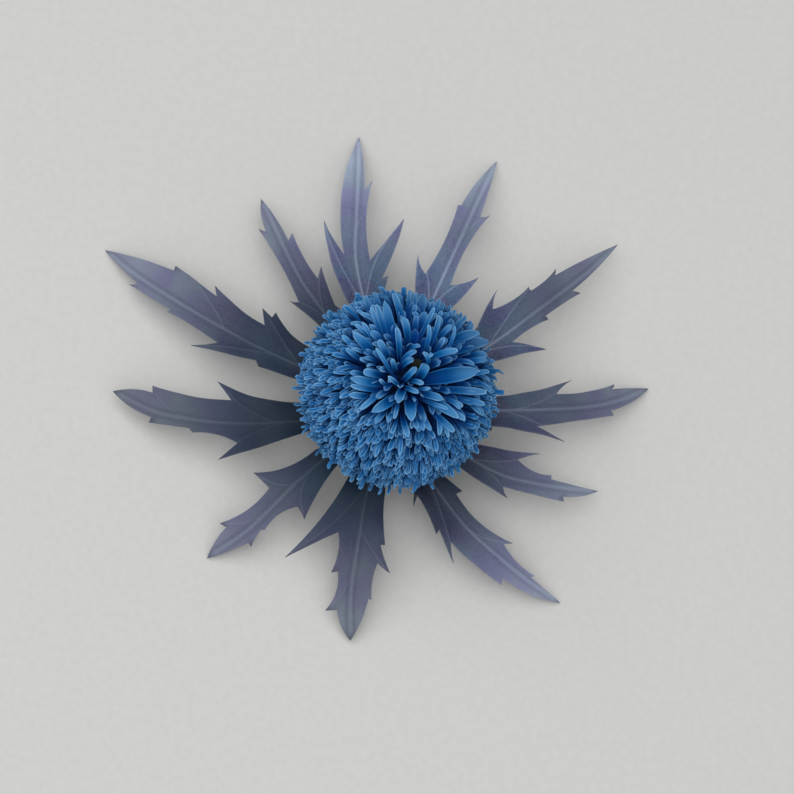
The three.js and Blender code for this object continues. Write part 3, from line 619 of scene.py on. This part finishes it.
def edge_line(corner, rows, outward):
    """One edge of a bract as a run of arcs, from its root to its tip."""
    line = [np.array([corner])]
    for along, across, bow in rows:
        start, end = line[-1][-1], np.array([along, across], float)
        run = end - start
        normal = np.array([-run[1], run[0]]) / np.linalg.norm(run)
        control = (start + end) / 2 + normal * 2 * bow * outward
        t = np.linspace(0, 1, max(2, math.ceil(np.linalg.norm(run) / OUTLINE_STEP)) + 1)[1:, None]
        line.append((1 - t) ** 2 * start + 2 * (1 - t) * t * control + t * t * end)
    return np.concatenate(line)


def smooth_line(points, steps):
    """Catmull-Rom curve through points."""
    padded = [points[0], *points, points[-1]]
    line = [points[0]]
    for a, b, c, d in zip(padded, padded[1:], padded[2:], padded[3:]):
        for t in np.linspace(0, 1, steps + 1)[1:]:
            first, second = (c - a) * 0.5, (d - b) * 0.5
            line.append((2 * b - 2 * c + first + second) * t ** 3
                        + (-3 * b + 3 * c - 2 * first - second) * t * t + first * t + b)
    return np.array(line)


def distance_to(line, points):
    """Distance of each point to a line, and the side that it lies on: 1 is left of the line."""
    nearest = np.full(len(points), np.inf)
    side = np.ones(len(points))
    for a, b in zip(line, line[1:]):
        run = b - a
        share = np.clip((points - a) @ run / (run @ run), 0, 1)[:, None]
        gap = points - a - share * run
        length = np.linalg.norm(gap, axis=1)
        closer = length < nearest
        nearest[closer] = length[closer]
        turn = run[0] * (points[:, 1] - a[1]) - run[1] * (points[:, 0] - a[0])
        side[closer] = np.sign(turn[closer] + 1e-9)
    return nearest, side


def inside(outline, points):
    """Whether each point lies inside a closed outline."""
    odd = np.zeros(len(points), bool)
    for a, b in zip(outline, np.roll(outline, -1, axis=0)):
        crosses = (a[1] > points[:, 1]) != (b[1] > points[:, 1])
        slope = (b[0] - a[0]) / (b[1] - a[1] if b[1] != a[1] else 1e-9)
        odd ^= crosses & (points[:, 0] < a[0] + (points[:, 1] - a[1]) * slope)
    return odd


def bract_height(bract, radius):
    """Middle of the blade: it leaves the collar rising, then droops to its tip."""
    span = bract["reach"] - BRACT_ROOT_RADIUS
    share = (radius - BRACT_ROOT_RADIUS) / span
    rise = BRACT_RISE * span
    fall = rise + BRACT_ROOT_HEIGHT - bract["tip"]
    return BRACT_ROOT_HEIGHT + rise * share - fall * share * share


def bract_shade(bract, along):
    """Painted light and shade along the blade: the roots are dark in the ball's shade but light on the
    side of the collar that the light falls on, and the tips are lighter.
    """
    light = max(math.cos(math.radians(bract["bearing"] - LIGHT_ROOTS_TOWARD)), 0) ** 2
    return bract["painted_shading"] * np.interp(along, SHADED_AT, (ROOT_SHADE + light, 1, TIP_SHADE))


def bract_lines(bract):
    """Outline, midrib, side veins and tips of the teeth of a bract in plan."""
    turn = math.radians(bract["root"] - bract["bearing"])

    def root_at(side):
        x, y = BRACT_ROOT_RADIUS, side * BRACT_ROOT_WIDTH / 2
        return np.array([x * math.cos(turn) - y * math.sin(turn), x * math.sin(turn) + y * math.cos(turn)])

    left, right = (edge_line(root_at(s), bract[key], s) for key, s in (("left", 1), ("right", -1)))
    ribs = [root_at(0), *(np.array(p, float) for p in bract["rib"]), np.array([bract["reach"], 0.0])]
    rib = smooth_line(ribs, 12)
    outline = np.concatenate([right, left[-2::-1]])
    veins = []
    for start, middle, end in bract["veins"]:
        a = rib[np.argmin(np.linalg.norm(rib - start, axis=1))]
        c = np.array(end, float)
        b = 2 * np.array(middle) - (a + c) / 2
        t = np.linspace(0, 1, 18)[:, None]
        veins.append((1 - t) ** 2 * a + 2 * (1 - t) * t * b + t * t * c)
    corners = np.array([row[:2] for key in ("left", "right") for row in bract[key]], float)
    reach = distance_to(rib, corners)[0]
    teeth = corners[(reach > np.roll(reach, 1)) & (reach > np.roll(reach, -1))]
    return outline, rib, veins, np.concatenate([teeth, ribs[-1:]])


def blade_plan(outline, rib, veins):
    """Fine triangles over a bract, with the midrib and the veins along their edges."""
    low, high = outline.min(axis=0), outline.max(axis=0)
    columns = np.arange(low[0], high[0], BLADE_STEP)
    rows = np.arange(low[1], high[1], BLADE_STEP * 0.87)
    grid = np.array([[x + BLADE_STEP / 2 * (i % 2), y] for i, y in enumerate(rows) for x in columns])
    grid = grid[inside(outline, grid)]
    clear = distance_to(np.concatenate([outline, outline[:1]]), grid)[0] > BLADE_STEP * 0.45
    crease = [spaced(line, BLADE_STEP * 0.8) for line in [rib, *veins]]
    for line in crease:
        clear &= distance_to(line, grid)[0] > RIDGE_WIDTH * 1.35
    slopes = [np.gradient(line, axis=0) for line in crease]
    normals = [unit(np.stack([-s[:, 1], s[:, 0]], axis=1)) for s in slopes]
    beside = np.concatenate([line + n * RIDGE_WIDTH * k
                             for line, n in zip(crease, normals) for k in (-1, -0.5, 0.5, 1)])
    beside = beside[inside(outline, beside)]
    beside = beside[distance_to(np.concatenate([outline, outline[:1]]), beside)[0] > 0.12]
    points = np.concatenate([outline, *crease, grid[clear], beside])
    edges, start = [(i, (i + 1) % len(outline)) for i in range(len(outline))], len(outline)
    for line in crease:
        edges += [(start + i, start + i + 1) for i in range(len(line) - 1)]
        start += len(line)
    made = delaunay_2d_cdt([Vector(p) for p in points], edges, [], 0, 1e-4, False)
    plan, triangles = np.array([[v.x, v.y] for v in made[0]]), np.array(made[2])
    return plan, triangles[inside(outline, plan[triangles].mean(axis=1))].tolist()


def make_bract(bract, index, material):
    outline, rib, veins, teeth = bract_lines(bract)
    plan, triangles = blade_plan(outline, rib, veins)
    to_rib, side = distance_to(rib, plan)
    to_vein = np.min([distance_to(v, plan)[0] for v in veins], axis=0)
    to_edge = distance_to(np.concatenate([outline, outline[:1]]), plan)[0]
    along = plan[:, 0] / bract["reach"]
    ridge = np.maximum(np.clip(1 - to_rib / RIDGE_WIDTH, 0, 1) * (1.15 - along),
                       np.clip(1 - to_vein / RIDGE_WIDTH, 0, 1) * 0.5)
    ridge *= np.clip(to_edge / 0.5, 0, 1)
    draw = random.Random(SEED + index)
    phase, pitch = draw.uniform(0, 6), draw.uniform(5, 8)
    wave = 0.16 * np.sin(plan[:, 0] * 2 * math.pi / pitch + phase + side) * np.clip(to_rib / 4, 0, 1)
    wave *= np.clip((1 - along) * 3, 0, 1)
    middle = bract_height(bract, np.linalg.norm(plan, axis=1)) + BRACT_FOLD * to_rib + wave
    middle -= ON_THE_SURFACE - BRACT_THICKNESS / 2
    thick = RIM_THICKNESS + (BRACT_THICKNESS - RIM_THICKNESS) * np.clip(to_edge / 0.5, 0, 1)
    top, low = middle + thick / 2 + ridge * RIDGE_HEIGHT, middle - thick / 2

    bearing = math.radians(bract["bearing"])
    x = plan[:, 0] * math.cos(bearing) - plan[:, 1] * math.sin(bearing)
    y = plan[:, 0] * math.sin(bearing) + plan[:, 1] * math.cos(bearing)
    points = np.concatenate([np.stack([x, y, top], axis=1), np.stack([x, y, low], axis=1)])
    count = len(plan)
    upper = []
    for a, b, c in triangles:
        area = np.cross(plan[b] - plan[a], plan[c] - plan[a])
        upper.append((a, b, c) if area > 0 else (a, c, b))
    borders = {}
    for face in upper:
        for a, b in zip(face, face[1:] + face[:1]):
            borders[(a, b)] = True
    walls = []
    for a, b in borders:
        if (b, a) not in borders:
            walls += [(a, a + count, b + count), (a, b + count, b)]
    faces = upper + [(a + count, c + count, b + count) for a, b, c in upper] + walls
    attributes = {
        "rib": to_rib, "vein": to_vein, "edge": to_edge, "along": along,
        "painted_shading": bract_shade(bract, along),
        "tooth": np.min(np.linalg.norm(plan[:, None] - teeth[None], axis=2), axis=1),
    }
    attributes = {key: np.tile(values, 2) for key, values in attributes.items()}
    add_piece("blade_" + bract["name"][-2:], points, faces, attributes, material,
              bract["name"])


# ---- Materials ----

class Shader:
    """Short calls for the nodes of one material."""

    def __init__(self, name, roughness, specular=0.4):
        self.material = bpy.data.materials.new(name)
        self.material.use_nodes = True
        self.nodes = self.material.node_tree.nodes
        self.links = self.material.node_tree.links
        self.surface = self.nodes["Principled BSDF"]
        self.surface.inputs["Roughness"].default_value = roughness
        self.surface.inputs["Specular IOR Level"].default_value = specular

    def put(self, socket, value):
        if isinstance(value, (int, float, tuple)):
            socket.default_value = value
        else:
            self.links.new(value, socket)

    def attribute(self, name):
        node = self.nodes.new("ShaderNodeAttribute")
        node.attribute_name = name
        return node.outputs["Fac"]

    def place(self):
        return self.nodes.new("ShaderNodeTexCoord").outputs["Object"]

    def math(self, operation, *values):
        node = self.nodes.new("ShaderNodeMath")
        node.operation = operation
        for socket, value in zip(node.inputs, values):
            self.put(socket, value)
        return node.outputs[0]

    def vector(self, *values):
        node = self.nodes.new("ShaderNodeCombineXYZ")
        for socket, value in zip(node.inputs, values):
            self.put(socket, value)
        return node.outputs[0]

    def distance(self, a, b):
        node = self.nodes.new("ShaderNodeVectorMath")
        node.operation = "DISTANCE"
        self.put(node.inputs[0], a)
        self.put(node.inputs[1], b)
        return node.outputs["Value"]

    def fade(self, value, low, high, start=0.0, end=1.0):
        """Smooth step from start to end as the value goes from low to high."""
        node = self.nodes.new("ShaderNodeMapRange")
        node.interpolation_type = "SMOOTHSTEP"
        for socket, entry in zip(node.inputs, (value, low, high, start, end)):
            self.put(socket, entry)
        return node.outputs[0]

    def noise(self, where, scale, detail):
        node = self.nodes.new("ShaderNodeTexNoise")
        self.put(node.inputs["Vector"], where)
        node.inputs["Scale"].default_value = scale
        node.inputs["Detail"].default_value = detail
        return node.outputs["Fac"]

    def mix(self, share, a, b):
        node = self.nodes.new("ShaderNodeMix")
        node.data_type = "RGBA"
        self.put(node.inputs[0], share)
        self.put(node.inputs[6], a)
        self.put(node.inputs[7], b)
        return node.outputs[2]

    def ramp(self, value, stops):
        node = self.nodes.new("ShaderNodeValToRGB")
        elements = node.color_ramp.elements
        for position, colour in stops[2:]:
            elements.new(position)
        for element, (position, colour) in zip(elements, sorted(stops)):
            element.position = position
            element.color = colour
        self.put(node.inputs[0], value)
        return node.outputs[0]

    def bump(self, height, depth):
        node = self.nodes.new("ShaderNodeBump")
        node.inputs["Distance"].default_value = depth * MM
        self.put(node.inputs["Height"], height)
        self.links.new(node.outputs[0], self.surface.inputs["Normal"])

    def scale(self, colour, factor):
        node = self.nodes.new("ShaderNodeVectorMath")
        node.operation = "SCALE"
        self.put(node.inputs[0], colour)
        self.put(node.inputs["Scale"], factor)
        return node.outputs[0]

    def finish(self, colour):
        self.put(self.surface.inputs["Base Color"], colour)
        return self.material


def rgb(red, green, blue):
    """Linear colour with full alpha from 0 to 255 display values."""
    def linear(value):
        v = value / 255
        return v / 12.92 if v <= 0.04045 else ((v + 0.055) / 1.055) ** 2.4
    return (linear(red), linear(green), linear(blue), 1.0)


def petal_material():
    shader = Shader("petal_blue", 0.65, 0.05)
    place = shader.place()
    radius = shader.distance(place, tuple(BALL_PLACE * MM))
    depth = shader.fade(radius, 11.5 * MM, 16.0 * MM)
    tone = shader.attribute("tone")
    strands = shader.vector(
        shader.math("MULTIPLY", shader.attribute("across"), 7.0),
        shader.math("MULTIPLY", shader.attribute("along"), 1.6),
        shader.math("MULTIPLY", tone, 40.0),
    )
    grain = shader.noise(strands, 1.0, 3.0)
    patch = shader.noise(place, 420.0, 2.0)
    edge, along = shader.attribute("edge"), shader.attribute("along")
    # Darker and bluer deeper in the ball: painted shade in the gaps, with the blue of light reflected
    # between the petals.
    face = shader.ramp(depth, [(0.0, rgb(0, 54, 150)), (1.0, rgb(0, 96, 156)), (0.55, rgb(0, 64, 132))])
    face = shader.mix(shader.fade(grain, 0.35, 0.75, 0, 0.3), face, rgb(6, 104, 166))
    face = shader.mix(shader.fade(grain, 0.5, 0.25, 0.0, 0.4), face, rgb(0, 56, 112))
    face = shader.mix(shader.fade(tone, 0.0, 1.0, 0.0, 0.4), face, rgb(0, 52, 110))
    face = shader.mix(shader.fade(along, 0.8, 0.25, 0.0, 0.5), face, rgb(0, 42, 104))
    # Painted highlights: petal edges and tips lighter towards the outside of the ball, where the light
    # reaches, and palest at the tips of the crown's petals.
    lit = shader.fade(radius, 12.8 * MM, 15.0 * MM)
    crown = shader.attribute("crown")
    end = shader.math("MULTIPLY", shader.fade(along, 0.55, 1.0), lit)
    soft = shader.math("MULTIPLY", shader.fade(edge, 0.6, 0.05, 0.0, 0.35), lit)
    face = shader.mix(soft, face, rgb(20, 112, 182))
    face = shader.mix(shader.math("MULTIPLY", end, 0.5), face, rgb(58, 136, 196))
    pale = shader.math("MULTIPLY", end, shader.fade(crown, 0.0, 1.0, 0.0, 0.4))
    face = shader.mix(pale, face, rgb(108, 160, 204))
    face = shader.mix(shader.fade(crown, 1.0, 0.0, 0.0, 0.25), face, rgb(0, 50, 112))
    # Painted highlights: light rims on the petals' edges, strongest near the tips and on the crown.
    rim = shader.math("MULTIPLY", shader.fade(edge, 0.3, 0.03), shader.fade(patch, 0.35, 0.6, 0.4, 1.0))
    rim = shader.math("MULTIPLY", rim, shader.math("MULTIPLY_ADD", end, 0.7, 0.06))
    rim = shader.math("MULTIPLY", rim, shader.fade(crown, 0.0, 1.0, 0.8, 0.9))
    colour = shader.mix(rim, face, rgb(134, 188, 232))
    shader.bump(grain, 0.05)
    return shader.finish(colour)


def bed_material():
    # The bed's dark navy is painted shade for the deep gaps between the florets.
    shader = Shader("bed_navy", 0.8, 0.1)
    patch = shader.noise(shader.place(), 900.0, 2.0)
    return shader.finish(shader.mix(patch, rgb(2, 12, 40), rgb(10, 36, 74)))


def eye_material():
    shader = Shader("eye_olive", 0.75, 0.25)
    grain = shader.attribute("grain")
    patch = shader.noise(shader.place(), 1500.0, 3.0)
    # Olive on the tops of the grains and near black between them; the near black is painted shade of the
    # hollow the bud sits in.
    colour = shader.mix(shader.fade(grain, 0.3, 1.0), rgb(3, 7, 12), rgb(46, 52, 36))
    colour = shader.mix(shader.fade(patch, 0.4, 0.65, 0.0, 0.5), colour, rgb(14, 26, 30))
    shader.bump(patch, 0.06)
    return shader.finish(colour)


def stem_material():
    shader = Shader("stem_green", 0.7, 0.25)
    radius, height, rib = (shader.attribute(key) for key in ("radius", "height", "rib"))
    place = shader.place()
    strands = shader.noise(shader.vector(shader.math("MULTIPLY", shader.attribute("angle"), 9.0), 0.0,
                                         shader.math("MULTIPLY", height, 0.5)), 1.6, 3.0)
    speckle = shader.noise(place, 2600.0, 3.0)
    bark = shader.mix(strands, rgb(58, 76, 78), rgb(84, 98, 92))
    bark = shader.mix(shader.fade(rib, -1.0, 0.2, 0.35, 0.0), bark, rgb(46, 50, 66))
    bark = shader.mix(shader.fade(height, 3.4, 6.8), bark, rgb(58, 64, 86))
    pith = shader.ramp(shader.math("DIVIDE", radius, CUT_RADIUS), [
        (0.0, rgb(206, 208, 176)), (1.0, rgb(92, 110, 84)),
        (0.55, rgb(190, 194, 156)), (0.82, rgb(146, 158, 118)),
    ])
    pith = shader.mix(shader.fade(speckle, 0.5, 0.7, 0.0, 0.5), pith, rgb(122, 126, 92))
    colour = shader.mix(shader.fade(height, 0.03, 0.12), pith, bark)
    colour = shader.mix(shader.fade(speckle, 0.35, 0.7, 0.0, 0.15), colour, rgb(150, 158, 150))
    shader.bump(strands, 0.08)
    return shader.finish(colour)


def bract_material():
    shader = Shader("bract_slate", 0.62, 0.3)
    place = shader.place()
    along, rib = shader.attribute("along"), shader.attribute("rib")
    blotch = shader.noise(place, 170.0, 2.0)
    grain = shader.noise(place, 2600.0, 3.0)
    reach = shader.math("ADD", along, shader.math("MULTIPLY", shader.math("SUBTRACT", blotch, 0.5), 0.3))
    # Dark near the ball and light toward the tips: partly the bracts' own colour, partly painted shade
    # from the ball.
    warm = shader.ramp(reach, [
        (0.28, rgb(31, 38, 62)), (1.0, rgb(120, 123, 139)),
        (0.45, rgb(55, 60, 91)), (0.75, rgb(94, 95, 124)),
    ])
    cool = shader.ramp(reach, [
        (0.28, rgb(22, 44, 66)), (1.0, rgb(117, 127, 140)),
        (0.45, rgb(44, 65, 88)), (0.75, rgb(89, 98, 117)),
    ])
    colour = shader.mix(shader.fade(blotch, 0.4, 0.6), warm, cool)
    glow = shader.fade(rib, 2.2, 0.0, 0.0, 0.25)
    colour = shader.mix(glow, colour, rgb(92, 102, 119))
    line = shader.math("MAXIMUM", shader.fade(rib, 0.26, 0.08, 0.0, 0.45),
                       shader.fade(shader.attribute("vein"), 0.2, 0.04, 0.0, 0.3))
    line = shader.math("MULTIPLY", line, shader.fade(along, 0.3, 0.95, 1.0, 0.65))
    colour = shader.mix(line, colour, rgb(124, 136, 154))
    # Painted shade: a darker band along both sides of the raised midrib.
    beside = shader.math("MULTIPLY", shader.fade(rib, 0.25, 0.5),
                         shader.fade(rib, 1.1, 0.5, 0.0, 0.3))
    colour = shader.mix(beside, colour, rgb(52, 56, 78))
    rim = shader.fade(shader.attribute("edge"), 0.22, 0.02, 0.0, 0.22)
    colour = shader.mix(rim, colour, rgb(124, 130, 150))
    tip = shader.fade(shader.attribute("tooth"), 1.5, 0.2, 0.0, 0.55)
    colour = shader.mix(tip, colour, rgb(50, 50, 70))
    colour = shader.mix(shader.fade(grain, 0.35, 0.65, 0.0, 0.08), colour, rgb(140, 146, 166))
    shader.bump(grain, 0.03)
    # Painted light and shade: the colour is tinted bluer where the bract is drawn darkest, as in shade,
    # and then scaled by its painted lightness.
    painted_shading = shader.attribute("painted_shading")
    colour = shader.mix(shader.fade(painted_shading, 0.75, 0.35, 0.0, 0.35), colour, rgb(30, 84, 124))
    return shader.finish(shader.scale(colour, painted_shading))


def floor_material():
    shader = Shader("pale_floor", 0.9, 0.1)
    speckle = shader.noise(shader.place(), 900.0, 2.0)
    colour = shader.mix(shader.fade(speckle, 0.3, 0.7), rgb(206, 206, 203), rgb(209, 209, 206))
    return shader.finish(colour)


# ---- Stage ----

LIGHT_DISTANCE = 1200
LIGHT_SIZE = 1500
KEY_POWER = 12.3
FILL_POWER = 6.7
SKY_STRENGTH = 0.2
FLOOR_REACH = 4.0         # metres from the middle to each side
FLOOR_DROP = 1e-4         # metres below the part's lowest point

def make_camera():
    lean = math.radians(VIEW_LEAN)
    turn = Quaternion((-math.sin(lean), math.cos(lean), 0), -math.radians(VIEW_TILT))
    data = bpy.data.cameras.new("camera")
    data.sensor_width = SENSOR_WIDTH
    data.lens = SENSOR_WIDTH * VIEW_DISTANCE / VIEW_WIDTH
    data.clip_start, data.clip_end = 0.01, 20
    camera = bpy.data.objects.new("camera", data)
    camera.rotation_mode = "QUATERNION"
    camera.rotation_quaternion = turn
    camera.location = (VIEW_TARGET + turn @ Vector((0, 0, VIEW_DISTANCE))) * MM
    bpy.context.scene.collection.objects.link(camera)
    bpy.context.scene.camera = camera
    return camera


def add_light(name, camera, towards, power):
    """Square soft light, placed by a direction in the camera's own frame."""
    data = bpy.data.lights.new(name, "AREA")
    data.size = LIGHT_SIZE * MM
    data.energy = power
    light = bpy.data.objects.new(name, data)
    back = camera.rotation_quaternion @ Vector(towards).normalized()
    light.location = (VIEW_TARGET + back * LIGHT_DISTANCE) * MM
    light.rotation_mode = "QUATERNION"
    light.rotation_quaternion = back.to_track_quat("Z", "Y")
    bpy.context.scene.collection.objects.link(light)


def make_stage(camera):
    mesh = bpy.data.meshes.new("floor")
    signs = [(-1, -1), (1, -1), (1, 1), (-1, 1)]
    corners = [(x * FLOOR_REACH, y * FLOOR_REACH, -FLOOR_DROP) for x, y in signs]
    mesh.from_pydata(corners, [], [(0, 1, 2, 3)])
    mesh.materials.append(floor_material())
    floor = bpy.data.objects.new("floor", mesh)
    bpy.context.scene.collection.objects.link(floor)

    world = bpy.data.worlds.new("studio")
    world.use_nodes = True
    background = world.node_tree.nodes["Background"]
    background.inputs["Color"].default_value = (0.97, 0.98, 1.0, 1.0)
    background.inputs["Strength"].default_value = SKY_STRENGTH
    bpy.context.scene.world = world
    add_light("key", camera, (-0.28, 0.45, 1.0), KEY_POWER)
    add_light("fill", camera, (0.3, -0.25, 1.0), FILL_POWER)
    bpy.context.scene.view_settings.view_transform = "Standard"


make_stage(make_camera())
make_ball(petal_material())
make_bed(bed_material())
make_eye(eye_material())
make_receptacle(stem_material())
slate = bract_material()
for number, entry in enumerate(BRACTS):
    make_bract(entry, number, slate)
